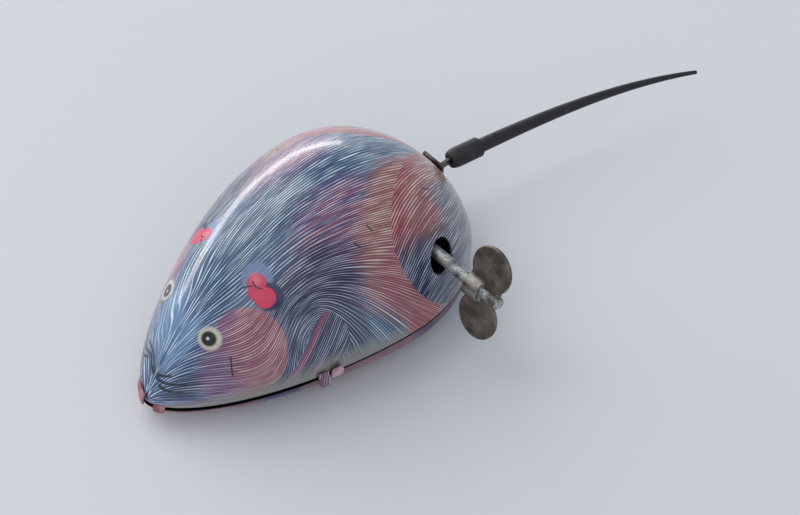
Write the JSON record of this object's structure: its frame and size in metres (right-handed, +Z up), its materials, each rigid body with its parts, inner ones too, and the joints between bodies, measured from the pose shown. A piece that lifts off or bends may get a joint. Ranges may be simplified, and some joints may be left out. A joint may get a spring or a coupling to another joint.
{
  "type": "clockwork mouse",
  "caption": "Wind-up tin mouse: domed printed shell on a shallow pan, two-plate spring motor, butterfly key on its left flank, driven rear wheels and a rubber tail.",
  "frame": {"origin": "centre of the body's length on the flat underside of the base pan", "axes": "+X towards the nose, +Y towards the mouse's left flank, where the key is, +Z up out of the back"},
  "size_m": [0.1429, 0.0619, 0.0391],
  "materials": {
    "litho_tin_top": "gloss printed tinplate",
    "litho_tin_pan": "gloss printed tinplate",
    "plated_steel": "bright tinned steel",
    "bright_steel": "drawn steel wire, polished",
    "galvanised_steel": "mottled zinc coat",
    "dull_steel": "darkened sheet steel",
    "spring_steel": "blued spring strip",
    "brass": "stamped brass, satin",
    "black_rubber": "moulded, matt"
  },
  "bodies": {
    "chassis": {"upper_shell": "litho_tin_top", "lower_shell": "litho_tin_pan", "motor_plate_left": "plated_steel", "motor_plate_right": "plated_steel", "pillar_rear": "plated_steel", "pillar_top": "plated_steel", "pillar_front": "plated_steel", "tail_bracket": "dull_steel", "mainspring": "spring_steel", "front_axle": "bright_steel"},
    "great_wheel_set": {"great_wheel": "brass", "click_pawl": "bright_steel", "click_stud": "bright_steel", "click_spring": "spring_steel"},
    "key": {"key_stem": "galvanised_steel", "key_wing": "dull_steel", "spring_arbor": "bright_steel", "ratchet_wheel": "bright_steel"},
    "second_set": {"second_arbor": "bright_steel", "second_pinion": "brass", "second_wheel": "brass"},
    "drive_set": {"drive_axle": "bright_steel", "drive_pinion": "brass", "drive_wheel_left": "plated_steel", "drive_wheel_right": "plated_steel", "tyre_left": "black_rubber", "tyre_right": "black_rubber"},
    "star_set": {"star_arbor": "bright_steel", "star_pinion": "brass", "star_wheel": "brass"},
    "pallet_set": {"pallet_arbor": "bright_steel", "pallet": "plated_steel"},
    "front_wheel": {"front_roller": "plated_steel"},
    "tail_sleeve": {"tail": "black_rubber"}
  },
  "joints": [
    {"name": "great_wheel_spin", "type": "hinge", "parent": "chassis", "child": "great_wheel_set", "pos_m": [-0.0193, 0, 0.0192], "axis": [0, 1, 0], "continuous": true},
    {"name": "key_wind", "type": "hinge", "parent": "great_wheel_set", "child": "key", "pos_m": [-0.0193, 0, 0.0192], "axis": [0, 1, 0], "continuous": true},
    {"name": "second_spin", "type": "hinge", "parent": "chassis", "child": "second_set", "pos_m": [-0.00906, 0, 0.01203], "axis": [0, 1, 0], "continuous": true},
    {"name": "drive_spin", "type": "hinge", "parent": "chassis", "child": "drive_set", "pos_m": [-0.01667, 0, 0.0048], "axis": [0, 1, 0], "continuous": true},
    {"name": "star_spin", "type": "hinge", "parent": "chassis", "child": "star_set", "pos_m": [-0.00102, 0, 0.01878], "axis": [0, 1, 0], "continuous": true},
    {"name": "pallet_rock", "type": "hinge", "parent": "chassis", "child": "pallet_set", "pos_m": [0.00542, 0, 0.02178], "axis": [0, 1, 0], "range_deg": [-6, 6]},
    {"name": "front_roller_spin", "type": "hinge", "parent": "chassis", "child": "front_wheel", "pos_m": [0.019, 0, 0.002], "axis": [0, 1, 0], "continuous": true},
    {"name": "tail_twist", "type": "hinge", "parent": "chassis", "child": "tail_sleeve", "pos_m": [-0.0422, -0.0003, 0.013], "axis": [1, 0, 0], "range_deg": [-40, 40]}
  ],
  "couplings": [
    {"joint": "second_spin", "follows": "great_wheel_spin", "ratio": -4},
    {"joint": "drive_spin", "follows": "great_wheel_spin", "ratio": 12.8},
    {"joint": "star_spin", "follows": "great_wheel_spin", "ratio": 12.8}
  ]
}
